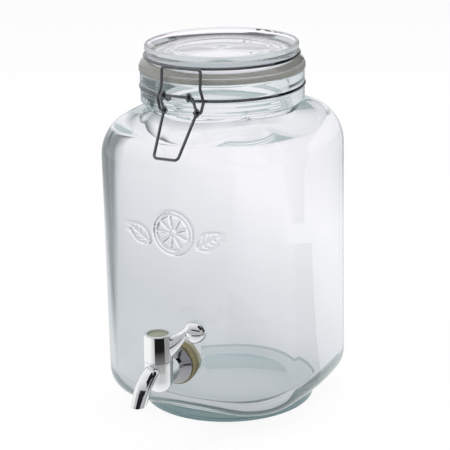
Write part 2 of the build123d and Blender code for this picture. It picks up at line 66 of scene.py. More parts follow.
def roundedProfile(corners, arcSteps=6):
    # A polyline of (radius, height, round): each corner with a round becomes a circular arc that is tangent
    # to both its sides. The arc's points lie at tangent length along each side, blended through the centre.
    points = [np.array([corners[0][:2]])]
    for before, here, after in zip(corners[:-2], corners[1:-1], corners[2:]):
        spot = np.array(here[:2])
        back = np.array(before[:2]) - spot
        ahead = np.array(after[:2]) - spot
        back, ahead = back / np.hypot(*back), ahead / np.hypot(*ahead)
        turn = math.acos(np.clip(back @ ahead, -1.0, 1.0))
        if here[2] == 0 or turn > nearlyStraight:
            points.append(spot[None])
            continue
        tangent = here[2] / math.tan(turn / 2)
        middle = (back + ahead) / np.hypot(*(back + ahead))
        centre = spot + middle * here[2] / math.sin(turn / 2)
        first, last = spot + back * tangent - centre, spot + ahead * tangent - centre
        sweep = math.pi - turn
        share = shares(arcSteps)
        arc = np.sin((1 - share) * sweep) * first + np.sin(share * sweep) * last
        points.append(centre + arc / math.sin(sweep))
    points.append(np.array([corners[-1][:2]]))
    return np.concatenate(points)


def fillProfile(profile, step):
    # Extra points along the straight runs, so that no two neighbours are further apart than the step.
    gaps = np.hypot(*np.diff(profile, axis=0).T)
    counts = np.maximum(1, np.ceil(gaps / step)).astype(int)
    runs = zip(profile[:-1], profile[1:], counts)
    pieces = [a + (b - a) * (np.arange(n) / n)[:, None] for a, b, n in runs]
    return np.concatenate(pieces + [profile[-1:]])


def gridMesh(name, grid, startPole, endPole):
    # Quads between neighbouring rows, closed round the columns, and a fan of triangles to a pole at each end.
    rows, columns = grid.shape[:2]
    points = np.concatenate([grid.reshape(-1, 3), [startPole], [endPole]])
    ring, nextRing = np.arange(columns), np.roll(np.arange(columns), -1)
    base = (np.arange(rows - 1) * columns)[:, None]
    above = base + columns
    quads = np.stack([base + ring, base + nextRing, above + nextRing, above + ring], axis=-1)
    last = (rows - 1) * columns
    startFan = np.stack([np.full(columns, rows * columns), nextRing, ring], axis=-1)
    endFan = np.stack([last + ring, last + nextRing, np.full(columns, rows * columns + 1)], axis=-1)
    faces = quads.reshape(-1, 4).tolist() + startFan.tolist() + endFan.tolist()
    mesh = bpy.data.meshes.new(name)
    mesh.from_pydata(points.tolist(), [], faces)
    mesh.shade_smooth()
    piece = bpy.data.objects.new(name, mesh)
    scene.collection.objects.link(piece)
    return piece


def lathe(profile, angles):
    # Rows are the profile's points and columns the angles: x = r cos a, y = r sin a, z = height.
    radius, height = profile[:, :1], profile[:, 1:]
    return np.stack([radius * np.cos(angles), radius * np.sin(angles), height + 0 * angles], axis=-1)


# Jar: one piece of pressed glass, made as one closed surface from the underside round to the inner floor

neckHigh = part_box("jar_neck")[1]
washerLow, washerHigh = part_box("outer_washer")
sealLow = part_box("inner_washer")[0]

jar = {
    "halfWidth": neckHigh.x,
    "bowRadius": 286 * mm,
    "cornerRadius": 42 * mm,
    "wall": 4.4 * mm,
    "floorTop": 14.3 * mm,
    "floorRows": 14,
    "floorStart": 0.95,
    "footRadius": 61 * mm,
    "footHeight": 7.8 * mm,
    "footRound": 1.6 * mm,
    "footLip": 0.2 * mm,
    "footStep": 2.5 * mm,
    "heelRadius": 19.5 * mm,
    "heelRows": 20,
    "innerHeelRows": 16,
    "pushUpRadius": 47 * mm,
    "pushUpHeight": 4.5 * mm,
    "pushUpRound": 1.0 * mm,
    "pushUpRows": 14,
    "pushUpEnd": 0.98,
    "poleShare": 0.04,
    "shoulderTop": 213.4 * mm,
    "shoulderRadius": 31 * mm,
    "shoulderRows": 26,
    "innerShoulderRows": 24,
    "waistRadius": 53 * mm,
    "waistTop": 215.6 * mm,
    "waistRound": 0.8 * mm,
    "waistLift": 0.2 * mm,
    "collarRadius": 56.8 * mm,
    "collarStart": 218 * mm,
    "collarRound": 1.4 * mm,
    "collarStep": 0.9 * mm,
    "collarRing": 0.10 * mm,
    "collarRingPitch": 3.4 * mm,
    "grooveRadius": 55.5 * mm,
    "grooveMiddle": neckHigh.z - 10.9 * mm,
    "grooveHalf": 1.15 * mm,
    "grooveRound": 0.3 * mm,
    "mouthRadius": 46.5 * mm,
    "mouthTop": neckHigh.z,
    "mouthRound": 1.2 * mm,
    "boreStep": 1.2 * mm,
    "boreLift": 0.4 * mm,
    "throatRows": 14,
    "throatPasses": 90,
    "contactGap": 0.04 * mm,
    "sealPress": 0.05 * mm,
    "seatRadius": 17 * mm,
    "seatEase": 4 * mm,
    "seatStep": 1.1 * mm,
    "innerSeatStep": 1.4 * mm,
    "outerSeat": washerHigh.y,
    "innerSeat": sealLow.y,
    "tapHeight": (washerLow.z + washerHigh.z) / 2,
    "tapHole": 8.5 * mm,
    "tapHoleSides": 64,
    "tapHolePast": 8 * mm,
    "frontStep": 0.70 * mm,
    "frontSpan": 34 * mm,
    "frontFacing": -0.9,
    "sideStep": 3.3 * mm,
    "wallStep": 4 * mm,
    "lowWallStep": 2 * mm,
    "innerLowStep": 1.0 * mm,
    "ripple": 0.10 * mm,
    "rippleWaves": (38, 21, 44, 29),
    "rippleSwing": 5,
    "rippleHalf": 0.42,
    "rippleFade": (0.2 * mm, 12 * mm),
}

relief = {
    "middle": 141 * mm,
    "halfHeight": 19 * mm,
    "step": 0.62 * mm,
    "ridgeHalf": 0.85 * mm,
    "ridgeHeight": 0.75 * mm,
    "sliceRadius": 15 * mm,
    "pithRadius": 12.4 * mm,
    "coreRadius": 2.6 * mm,
    "spokes": 9,
    "leafStart": (17.5 * mm, -9 * mm),
    "leafTilt": math.radians(33),
    "leafLength": 22 * mm,
    "leafHalf": 5.6 * mm,
    "leafSkew": 0.85,
    "leafFade": 0.03,
    "veins": 4,
    "veinHeight": 0.6,
    "veinThinner": 1.3,
}

bowCentre = jar["bowRadius"] - jar["halfWidth"]
bowInner = jar["bowRadius"] - jar["cornerRadius"]
cornerCentre = (math.sqrt(2 * bowInner**2 - bowCentre**2) - bowCentre) / 2
bowAngle = math.atan2(cornerCentre, cornerCentre + bowCentre)
bowLength = 2 * bowAngle * jar["bowRadius"]
cornerLength = (math.pi / 2 - 2 * bowAngle) * jar["cornerRadius"]
quarterLength = bowLength + cornerLength

wallLow, wallHigh = jar["footHeight"] + jar["heelRadius"], jar["shoulderTop"] - jar["shoulderRadius"]
seatLow, seatHigh = jar["tapHeight"] - jar["seatRadius"] - mm, jar["tapHeight"] + jar["seatRadius"] + mm
reliefLow, reliefHigh = relief["middle"] - relief["halfHeight"], relief["middle"] + relief["halfHeight"]
mouthZ = jar["mouthTop"] + jar["sealPress"]
lipMiddle = (jar["collarRadius"] + jar["mouthRadius"]) / 2


def jarOutline(s):
    # Plan of the body by arc length s from the middle of the front face. Each quarter is a face bowed on a
    # large circle, whose centre lies behind the jar's axis, then a corner arc tangent to it.
    turned = s + bowLength / 2
    quarter = np.floor(turned / quarterLength)
    along = turned - quarter * quarterLength
    bowTurn = along / jar["bowRadius"] - bowAngle
    cornerTurn = bowAngle + (along - bowLength) / jar["cornerRadius"]
    onBow = along < bowLength
    turn = np.where(onBow, bowTurn, cornerTurn)
    reach = np.where(onBow, jar["bowRadius"], jar["cornerRadius"])
    startOut = np.where(onBow, -bowCentre, cornerCentre)
    startSide = np.where(onBow, 0.0, cornerCentre)
    out = startOut + reach * np.cos(turn)
    side = startSide + reach * np.sin(turn)
    face = quarter * math.pi / 2 - math.pi / 2
    x = out * np.cos(face) - side * np.sin(face)
    y = out * np.sin(face) + side * np.cos(face)
    normals = np.stack([np.cos(face + turn), np.sin(face + turn)], axis=-1)
    return np.stack([x, y], axis=-1), normals


def insetTo(places, normals, radius):
    # Length along the inward normal from the outline to a circle about the axis, by the quadratic formula,
    # and the angle about the axis at which each column meets that circle.
    outward = np.sum(places * normals, axis=-1)
    inset = outward - np.sqrt(outward**2 - np.sum(places**2, axis=-1) + radius**2)
    met = places - inset[:, None] * normals
    return inset, np.arctan2(met[:, 1], met[:, 0])


def insetRows(places, normals, inset, height):
    # Outline drawn in along its normals by inset, at the given height; both may vary by row and column.
    inset, height = np.broadcast_arrays(inset, height)
    plan = places - inset[..., None] * normals
    return np.concatenate([plan, height[..., None]], axis=-1)


def roundHeight(inset, radius):
    # Rise of a quarter-round of that radius at an inset from its outer edge, level beyond the round.
    return np.sqrt(radius**2 - (radius - np.minimum(inset, radius)) ** 2)


def ridge(distance):
    # Bell-shaped ridge: height times exp of minus the square of distance over half width.
    return relief["ridgeHeight"] * np.exp(-((distance / relief["ridgeHalf"]) ** 2))


def fruitRelief(x, z):
    # Height of the raised slice and its two leaves over the front face, from the distance to each line.
    z = z - relief["middle"]
    radius, angle = np.hypot(x, z), np.arctan2(z, x)
    rind = ridge(np.abs(radius - relief["sliceRadius"]))
    pith = ridge(np.abs(radius - relief["pithRadius"]))
    sector = 2 * math.pi / relief["spokes"]
    toSpoke = np.abs((angle / sector) % 1.0 - 0.5) * sector
    inside = smoothStep(relief["coreRadius"] - mm, relief["coreRadius"], radius)
    inside = inside * (1 - smoothStep(relief["pithRadius"] - mm, relief["pithRadius"], radius))
    spokes = ridge(radius * np.sin(np.minimum(toSpoke, math.pi / 2))) * inside
    u = np.abs(x) - relief["leafStart"][0]
    v = z - relief["leafStart"][1]
    cosTilt, sinTilt = math.cos(relief["leafTilt"]), math.sin(relief["leafTilt"])
    along = (u * cosTilt + v * sinTilt) / relief["leafLength"]
    across = v * cosTilt - u * sinTilt
    half = relief["leafHalf"] * np.sin(math.pi * np.clip(along, 0, 1) ** relief["leafSkew"])
    fade = relief["leafFade"]
    onLeaf = smoothStep(-fade, fade, along) * (1 - smoothStep(1 - fade, 1 + fade, along))
    edge = ridge(np.abs(np.abs(across) - half)) * onLeaf
    middleRib = ridge(across) * onLeaf
    gaps = relief["veins"] + 1
    phase = (along - np.abs(across) / relief["leafLength"]) * gaps
    toVein = np.abs(phase - np.round(phase)) / gaps * relief["leafLength"]
    onVein = onLeaf * (np.abs(across) < half) * (np.abs(phase - gaps / 2) < relief["veins"] / 2)
    veins = relief["veinHeight"] * ridge(toVein * relief["veinThinner"]) * onVein
    return np.maximum.reduce([rind, pith, spokes, edge, middleRib, veins])


def seatMask(points):
    # 1 on the round seat of the tap, easing to 0 just outside it, on the front wall only.
    away = np.hypot(points[..., 0], points[..., 2] - jar["tapHeight"])
    ease = smoothStep(jar["seatRadius"], jar["seatRadius"] + jar["seatEase"], away)
    return (points[..., 1] < 0) * (1 - ease)


def jarUnder(places, normals):
    # Spherical push-up and rounded foot ring, then the heel: a quarter-round in from the wall that the
    # ring cuts short.
    pushShare = np.linspace(jar["poleShare"], jar["pushUpEnd"], jar["pushUpRows"])
    pushUp = np.stack([pushShare * jar["pushUpRadius"], jar["pushUpHeight"] * (1 - pushShare**2)], axis=-1)
    footEnd, footAngle = insetTo(places, normals, jar["footRadius"])
    footRing = roundedProfile([
        (jar["pushUpRadius"] - mm, jar["footLip"], 0),
        (jar["pushUpRadius"] + mm, 0, jar["pushUpRound"]),
        (jar["footRadius"], 0, jar["footRound"]),
        (jar["footRadius"], jar["footHeight"] - mm, 0),
    ])
    under = lathe(np.concatenate([pushUp, fillProfile(footRing, jar["footStep"])]), footAngle)
    inset = footEnd * (1 - np.sin(shares(jar["heelRows"]) * math.pi / 2))
    heel = insetRows(places, normals, inset, wallLow - roundHeight(inset, jar["heelRadius"]))
    return [under, heel]


def jarWall(places, normals):
    # Outer wall, with close rows at the tap's seat and across the relief.
    wallZ = np.concatenate([
        np.arange(wallLow + mm, seatLow, jar["lowWallStep"]),
        np.arange(seatLow, seatHigh, jar["seatStep"]),
        np.arange(seatHigh, reliefLow, jar["wallStep"]),
        np.arange(reliefLow, reliefHigh, relief["step"]),
        np.arange(reliefHigh, wallHigh, jar["wallStep"]),
    ])[:, None]
    wall = insetRows(places, normals, np.zeros(len(places)), wallZ)
    raised = np.where(normals[:, 1] < jar["frontFacing"], fruitRelief(wall[..., 0], wall[..., 2]), 0.0)
    wall[..., :2] += raised[..., None] * normals
    wall[..., 1] += seatMask(wall) * np.maximum(jar["outerSeat"] + jar["contactGap"] - wall[..., 1], 0)
    return [wall]


def jarNeck(places, normals):
    # Shoulder: quarter-round that the waist cuts off. Then waist, lead-in and collar with its rings and groove.
    waistEnd, waistAngle = insetTo(places, normals, jar["waistRadius"])
    inset = waistEnd * (1 - np.cos(shares(jar["shoulderRows"]) * math.pi / 2))
    shoulder = insetRows(places, normals, inset, wallHigh + roundHeight(inset, jar["shoulderRadius"]))
    grooveLow, grooveHigh = (jar["grooveMiddle"] + side * jar["grooveHalf"] for side in (-1, 1))
    profile = roundedProfile([
        (jar["waistRadius"], jar["shoulderTop"] + jar["waistLift"], 0),
        (jar["waistRadius"], jar["waistTop"], jar["waistRound"]),
        (jar["collarRadius"], jar["collarStart"], jar["collarRound"]),
        (jar["collarRadius"], grooveLow, jar["grooveRound"]),
        (jar["grooveRadius"], grooveLow, jar["grooveRound"]),
        (jar["grooveRadius"], grooveHigh, jar["grooveRound"]),
        (jar["collarRadius"], grooveHigh, jar["grooveRound"]),
        (jar["collarRadius"], mouthZ, jar["mouthRound"]),
        (lipMiddle, mouthZ, 0),
    ])
    profile = fillProfile(profile, jar["collarStep"])
    height = profile[:, 1]
    ringed = smoothStep(jar["collarStart"], jar["collarStart"] + mm, height)
    ringed = ringed * (1 - smoothStep(grooveLow - mm, grooveLow, height))
    profile[:, 0] -= jar["collarRing"] * ringed * (1 - np.cos(2 * math.pi * height / jar["collarRingPitch"]))
    return [shoulder, lathe(profile, waistAngle)]


def jarInside(places, normals):
    # Bore, then shoulder, wall, heel and floor: the same outline drawn in by the wall.
    places = places - jar["wall"] * normals
    boreEnd, boreAngle = insetTo(places, normals, jar["mouthRadius"])
    profile = roundedProfile([
        (lipMiddle - mm, mouthZ, 0),
        (jar["mouthRadius"], mouthZ, jar["mouthRound"]),
        (jar["mouthRadius"], jar["shoulderTop"] - jar["wall"] + jar["boreLift"], 0),
    ])
    bore = lathe(fillProfile(profile, jar["boreStep"]), boreAngle)
    inset = boreEnd * (1 - np.sin(shares(jar["innerShoulderRows"]) * math.pi / 2))
    shoulderZ = wallHigh + roundHeight(inset, jar["shoulderRadius"] - jar["wall"])
    shoulder = insetRows(places, normals, inset, shoulderZ)
    heelRadius = jar["heelRadius"] - jar["wall"]
    innerLow = jar["floorTop"] + heelRadius
    wallZ = np.concatenate([
        np.arange(wallHigh - mm, seatHigh, -jar["wallStep"]),
        np.arange(seatHigh, seatLow, -jar["innerSeatStep"]),
        np.arange(seatLow, innerLow, -jar["innerLowStep"]),
    ])[:, None]
    wall = insetRows(places, normals, np.zeros(len(places)), wallZ)
    turn = heelRadius * (1 - np.cos(shares(jar["innerHeelRows"]) * math.pi / 2)) + np.zeros(len(places))
    heel = insetRows(places, normals, turn, innerLow - roundHeight(turn, heelRadius))
    floorShare = np.linspace(jar["floorStart"], jar["poleShare"], jar["floorRows"])[:, None, None]
    floor = heel[-1:] * np.array([1.0, 1.0, 0.0]) * floorShare + np.array([0, 0, jar["floorTop"]])

    # The throat, where the bore meets the shoulder, is rounded by averaging neighbouring rows
    throat = np.concatenate([bore, shoulder])
    first, last = len(bore) - jar["throatRows"], len(bore) + jar["throatRows"]
    for _ in range(jar["throatPasses"]):
        beside = throat[first - 1:last - 1] + throat[first + 1:last + 1]
        throat[first:last] = (beside + 2 * throat[first:last]) / 4
    bore, shoulder = throat[:len(bore)], throat[len(bore):]

    # A slight ripple of crossed waves over the middle of the wall, and the flat seat behind the tap
    inner = np.concatenate([shoulder, wall, heel])
    x, y, z = (inner[..., axis] for axis in range(3))
    upWave, bendWave, sideWave, deepWave = jar["rippleWaves"]
    wave = np.sin(upWave * z + jar["rippleSwing"] * np.sin(bendWave * x)) * np.sin(sideWave * x + deepWave * y)
    past = np.abs(z - (innerLow + wallHigh) / 2) - jar["rippleHalf"] * (wallHigh - innerLow)
    inner[..., :2] += (jar["ripple"] * wave * (1 - smoothStep(*jar["rippleFade"], past)))[..., None] * normals
    inner[..., 1] -= seatMask(inner) * np.maximum(inner[..., 1] - jar["innerSeat"] + jar["contactGap"], 0)
    return [bore, inner, floor]


def jarGrid():
    # Rows from the underside over the outside and down the inside; columns close together across the front.
    perimeter = 4 * quarterLength
    front = np.arange(-jar["frontSpan"], jar["frontSpan"], jar["frontStep"])
    sideCount = int((perimeter - 2 * jar["frontSpan"]) / jar["sideStep"])
    sides = np.linspace(jar["frontSpan"], perimeter - jar["frontSpan"], sideCount, endpoint=False)
    outline = jarOutline(np.concatenate([front, sides]))
    bands = jarUnder(*outline) + jarWall(*outline) + jarNeck(*outline) + jarInside(*outline)
    return np.concatenate(bands)


def cutTapHole(piece):
    # A closed tube along y through the front wall is taken away from the jar.
    ringAngle = np.linspace(0, 2 * math.pi, jar["tapHoleSides"], endpoint=False)
    ends = jar["outerSeat"] - jar["tapHolePast"], jar["innerSeat"] + jar["tapHolePast"]
    depth = np.array(ends)[:, None]
    across, up = jar["tapHole"] * np.sin(ringAngle), jar["tapHole"] * np.cos(ringAngle) + jar["tapHeight"]
    tube = np.stack([across + 0 * depth, depth + 0 * across, up + 0 * depth], axis=-1)
    cutter = gridMesh("tapHoleCutter", tube, *((0, end, jar["tapHeight"]) for end in ends))
    cut = piece.modifiers.new("tapHole", "BOOLEAN")
    cut.object, cut.operation, cut.solver = cutter, "DIFFERENCE", "EXACT"
    finished = bpy.data.meshes.new_from_object(piece.evaluated_get(bpy.context.evaluated_depsgraph_get()))
    piece.modifiers.clear()
    piece.data = finished
    bpy.data.objects.remove(cutter)


jarPiece = gridMesh("glassJar", jarGrid(), (0, 0, jar["pushUpHeight"]), (0, 0, jar["floorTop"]))
cutTapHole(jarPiece)
jarPiece.data.shade_smooth()
jarPiece.data.set_sharp_from_angle(angle=sharpAngle)
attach(jarPiece, "dispenser")
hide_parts("jar_base", "jar_wall", "jar_neck")
print("jar made with", len(jarPiece.data.polygons), "faces")


# Lid: pressed glass disc, turned from one profile

lidLow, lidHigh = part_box("lid")
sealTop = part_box("lid_gasket")[1].z

lid = {
    "plugLow": lidLow.z,
    "plugRadius": 45.6 * mm,
    "plugWall": 3.8 * mm,
    "plugRound": 0.9 * mm,
    "base": sealTop - jar["sealPress"],
    "baseRound": 0.5 * mm,
    "flangeRadius": lidHigh.x,
    "flangeEdge": 1.8 * mm,
    "flangeSlope": 3.4 * mm,
    "flangeRound": 0.7 * mm,
    "waistRadius": 52.2 * mm,
    "waistRound": 1.2 * mm,
    "beadStart": 10.2 * mm,
    "beadLead": 1.0 * mm,
    "beadRadius": 53.2 * mm,
    "beadRound": 0.5 * mm,
    "top": lidHigh.z,
    "rimWidth": 2.2 * mm,
    "rimRound": 0.8 * mm,
    "dishRadius": 46 * mm,
    "dishDepth": 4.4 * mm,
    "dishRound": 2.0 * mm,
    "dishMargin": 0.1 * mm,
    "crown": 0.9 * mm,
    "panel": 4.6 * mm,
    "panelRound": 1.5 * mm,
    "panelRingRadius": 33 * mm,
    "panelRingHeight": 0.22 * mm,
    "panelRingHalf": 1.1 * mm,
    "poleRadius": 0.8 * mm,
    "step": 1.2 * mm,
    "arcSteps": 7,
    "columns": 192,
}

dishZ = lid["top"] - lid["dishDepth"]
underZ = dishZ - lid["panel"]
plugInner = lid["plugRadius"] - lid["plugWall"]
flangeTop = lid["base"] + lid["flangeEdge"]
beadLow = lid["base"] + lid["beadStart"]
lidProfile = roundedProfile([
    (lid["poleRadius"], underZ + lid["crown"], 0),
    (plugInner, underZ, lid["panelRound"]),
    (plugInner, lid["plugLow"], lid["plugRound"]),
    (lid["plugRadius"], lid["plugLow"], lid["plugRound"]),
    (lid["plugRadius"], lid["base"], lid["baseRound"]),
    (lid["flangeRadius"], lid["base"], lid["flangeRound"]),
    (lid["flangeRadius"], flangeTop, lid["flangeRound"]),
    (lid["waistRadius"], flangeTop + lid["flangeSlope"], lid["waistRound"]),
    (lid["waistRadius"], beadLow, lid["beadRound"]),
    (lid["beadRadius"], beadLow + lid["beadLead"], lid["beadRound"]),
    (lid["beadRadius"], lid["top"], lid["rimRound"]),
    (lid["beadRadius"] - lid["rimWidth"], lid["top"], lid["rimRound"]),
    (lid["dishRadius"], dishZ, lid["dishRound"]),
    (lid["poleRadius"], dishZ + lid["crown"], 0),
], arcSteps=lid["arcSteps"])
lidProfile = fillProfile(lidProfile, lid["step"])
onDish = (lidProfile[:, 1] > dishZ - lid["dishMargin"]) & (lidProfile[:, 0] < lid["dishRadius"])
dishRing = np.exp(-(((lidProfile[:, 0] - lid["panelRingRadius"]) / lid["panelRingHalf"]) ** 2))
lidProfile[:, 1] += onDish * lid["panelRingHeight"] * dishRing
lidAngles = np.linspace(0, 2 * math.pi, lid["columns"], endpoint=False)
lidPoles = [(0, 0, height + lid["crown"]) for height in (underZ, dishZ)]
lidPiece = gridMesh("glassLid", lathe(lidProfile, lidAngles), *lidPoles)
lidPiece.data.set_sharp_from_angle(angle=sharpAngle)
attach(lidPiece, "lid_assembly")
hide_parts("lid")
print("lid made with", len(lidPiece.data.polygons), "faces")


# Shared surface effects

marksInputs = {"Smudge Scale": 60, "Speck Scale": 900, "Low Roughness": 0.05, "High Roughness": 0.15}
tintInputs = {"Scale": 120, "Light": (0.8, 0.8, 0.8, 1), "Dark": (0.6, 0.6, 0.6, 1)}
effects = {
    "smudgeDetail": 4,
    "smudgeEnds": (0.35, 0.7),
    "speckDetail": 2,
    "speckShare": 0.25,
    "cloudDetail": 5,
    "bumpDepth": 0.2 * mm,
    "edgeBlend": 0.5,
}


def addNode(nodes, kind, settings=None, values=None):
    # A shader node with its settings, and its constants set on sockets by name or number.
    node = nodes.new("ShaderNode" + kind)
    for key, value in (settings or {}).items():
        setattr(node, key, value)
    for socket, value in (values or {}).items():
        node.inputs[socket].default_value = value
    return node


def addMath(nodes, operation, values=None):
    return addNode(nodes, "Math", {"operation": operation}, values)


def addVector(nodes, operation, values=None):
    return addNode(nodes, "VectorMath", {"operation": operation}, values)


def addMix(nodes, values=None):
    return addNode(nodes, "Mix", {"data_type": "RGBA"}, values)


def addRange(nodes, ends, results=(0.0, 1.0)):
    # Maps a value between two ends to two results, and holds it there beyond the ends.
    sockets = ("From Min", "From Max", "To Min", "To Max")
    return addNode(nodes, "MapRange", values=dict(zip(sockets, (*ends, *results))))


def makeGroup(name, inputs, outputs):
    # A node group with its sockets: an input is a colour where its value is a tuple, and a number otherwise.
    group = bpy.data.node_groups.new(name, "ShaderNodeTree")
    for socket, value in inputs.items():
        kind = "NodeSocketColor" if isinstance(value, tuple) else "NodeSocketFloat"
        group.interface.new_socket(name=socket, in_out="INPUT", socket_type=kind).default_value = value
    for socket, kind in outputs.items():
        group.interface.new_socket(name=socket, in_out="OUTPUT", socket_type=kind)
    given, put = group.nodes.new("NodeGroupInput"), group.nodes.new("NodeGroupOutput")
    return group, given.outputs, put.inputs


def makeMarksGroup():
    # Handling marks: broad smudges and fine specks move a roughness between two ends and give a height.
    outputs = {"Roughness": "NodeSocketFloat", "Height": "NodeSocketFloat"}
    group, given, put = makeGroup("handlingMarks", marksInputs, outputs)
    nodes, link = group.nodes, group.links.new
    place = addNode(nodes, "TexCoord")
    smudge = addNode(nodes, "TexNoise", values={"Detail": effects["smudgeDetail"]})
    speck = addNode(nodes, "TexNoise", values={"Detail": effects["speckDetail"]})
    ends = addRange(nodes, effects["smudgeEnds"])
    total = addMath(nodes, "MULTIPLY_ADD", {1: effects["speckShare"]})
    for texture, scale in ((smudge, "Smudge Scale"), (speck, "Speck Scale")):
        link(place.outputs["Object"], texture.inputs["Vector"])
        link(given[scale], texture.inputs["Scale"])
    link(smudge.outputs["Fac"], ends.inputs["Value"])
    link(given["Low Roughness"], ends.inputs["To Min"])
    link(given["High Roughness"], ends.inputs["To Max"])
    link(speck.outputs["Fac"], total.inputs[0])
    link(smudge.outputs["Fac"], total.inputs[2])
    link(ends.outputs["Result"], put["Roughness"])
    link(total.outputs["Value"], put["Height"])
    return group


def makeTintGroup():
    # Moulded colour: two close shades mixed by soft clouds, so that no surface is one flat colour.
    group, given, put = makeGroup("mouldedTint", tintInputs, {"Color": "NodeSocketColor"})
    nodes, link = group.nodes, group.links.new
    place, mix = addNode(nodes, "TexCoord"), addMix(nodes)
    cloud = addNode(nodes, "TexNoise", values={"Detail": effects["cloudDetail"]})
    link(place.outputs["Object"], cloud.inputs["Vector"])
    link(given["Scale"], cloud.inputs["Scale"])
    link(cloud.outputs["Fac"], mix.inputs["Factor"])
    link(given["Dark"], mix.inputs["A"])
    link(given["Light"], mix.inputs["B"])
    link(mix.outputs["Result"], put["Color"])
    return group


marksGroup, tintGroup = makeMarksGroup(), makeTintGroup()


def addGroup(nodes, group, values):
    return addNode(nodes, "Group", {"node_tree": group}, values)


def opaque(colour):
    return (*colour, 1)


def darkenEdges(nodes, link, glass, colour):
    # Painted shade: the colour goes to a dark edge tone where the glass is seen at a slant, on upright faces
    # only.
    facing = addNode(nodes, "LayerWeight", values={"Blend": effects["edgeBlend"]})
    lie, parts = addNode(nodes, "NewGeometry"), addNode(nodes, "SeparateXYZ")
    slant, upright = addRange(nodes, glass["edgeEnds"]), addRange(nodes, glass["levelEnds"], (1.0, 0.0))
    slope, strength = addMath(nodes, "ABSOLUTE"), addMath(nodes, "MULTIPLY")
    edge = addMix(nodes, {"B": opaque(glass["edge"])})
    link(facing.outputs["Facing"], slant.inputs["Value"])
    link(lie.outputs["Normal"], parts.inputs["Vector"])
    link(parts.outputs["Z"], slope.inputs[0])
    link(slope.outputs["Value"], upright.inputs["Value"])
    link(slant.outputs["Result"], strength.inputs[0])
    link(upright.outputs["Result"], strength.inputs[1])
    link(strength.outputs["Value"], edge.inputs["Factor"])
    link(colour, edge.inputs["A"])
    return edge.outputs["Result"]


def glowForDeepLight(nodes, link, glass, shader, colour):
    # Light caught inside the glass for many bounces ends there, and the glass glows in its place with one
    # painted
    # tone: the paper's high up, and a dark green one low down and toward the front.
    path, place = addNode(nodes, "LightPath"), addNode(nodes, "TexCoord")
    late = addMath(nodes, "GREATER_THAN", {1: glass["deepAfter"]})
    clear = addMath(nodes, "SUBTRACT", {0: 1.0})
    gloss = addMath(nodes, "MULTIPLY", {1: shader.inputs["Specular IOR Level"].default_value})
    height, rise = addVector(nodes, "DOT_PRODUCT", {1: glass["deepLean"]}), addRange(nodes, glass["deepEnds"])
    paintedGlow = addMix(nodes, {"A": opaque(glass["deepGlowLow"]), "B": opaque(glass["deepGlowHigh"])})
    ending = addMix(nodes, {"B": (0, 0, 0, 1)})
    link(place.outputs["Object"], height.inputs[0])
    link(height.outputs["Value"], rise.inputs["Value"])
    link(rise.outputs["Result"], paintedGlow.inputs["Factor"])
    link(path.outputs["Ray Depth"], late.inputs[0])
    link(late.outputs["Value"], clear.inputs[1])
    link(clear.outputs["Value"], gloss.inputs[0])
    link(late.outputs["Value"], ending.inputs["Factor"])
    link(colour, ending.inputs["A"])
    link(clear.outputs["Value"], shader.inputs["Transmission Weight"])
    link(gloss.outputs["Value"], shader.inputs["Specular IOR Level"])
    link(paintedGlow.outputs["Result"], shader.inputs["Emission Color"])
    link(late.outputs["Value"], shader.inputs["Emission Strength"])
    return ending.outputs["Result"]


def makeFinish(name, finish):
    # Principled surface whose colour comes from the tint group, and roughness and bump from the marks group.
    material = bpy.data.materials.new(name)
    material.use_nodes = True
    nodes, link = material.node_tree.nodes, material.node_tree.links.new
    shader = nodes["Principled BSDF"]
    for socket, value in finish["sockets"].items():
        shader.inputs[socket].default_value = value
    smudge, speck = finish["marks"]
    low, high = finish["roughness"]
    marks = addGroup(nodes, marksGroup, dict(zip(marksInputs, (smudge, speck, low, high))))
    bump = addNode(nodes, "Bump", values={"Strength": finish["bump"], "Distance": effects["bumpDepth"]})
    shades = (finish["tint"], opaque(finish["light"]), opaque(finish["dark"]))
    colour = addGroup(nodes, tintGroup, dict(zip(tintInputs, shades))).outputs["Color"]
    link(marks.outputs["Roughness"], shader.inputs["Roughness"])
    link(marks.outputs["Height"], bump.inputs["Height"])
    link(bump.outputs["Normal"], shader.inputs["Normal"])
    if "glass" in finish:
        glass = finish["glass"]
        volume = addNode(nodes, "VolumeAbsorption", values={
            "Color": opaque(glass["absorption"]), "Density": glass["density"],
        })
        link(volume.outputs["Volume"], nodes["Material Output"].inputs["Volume"])
        # Painted shade at the glass's slanted edges, then a painted glow where light is caught deep inside.
        colour = glowForDeepLight(nodes, link, glass, shader, darkenEdges(nodes, link, glass, colour))
        material.cycles.emission_sampling = "NONE"
    link(colour, shader.inputs["Base Color"])
    return material


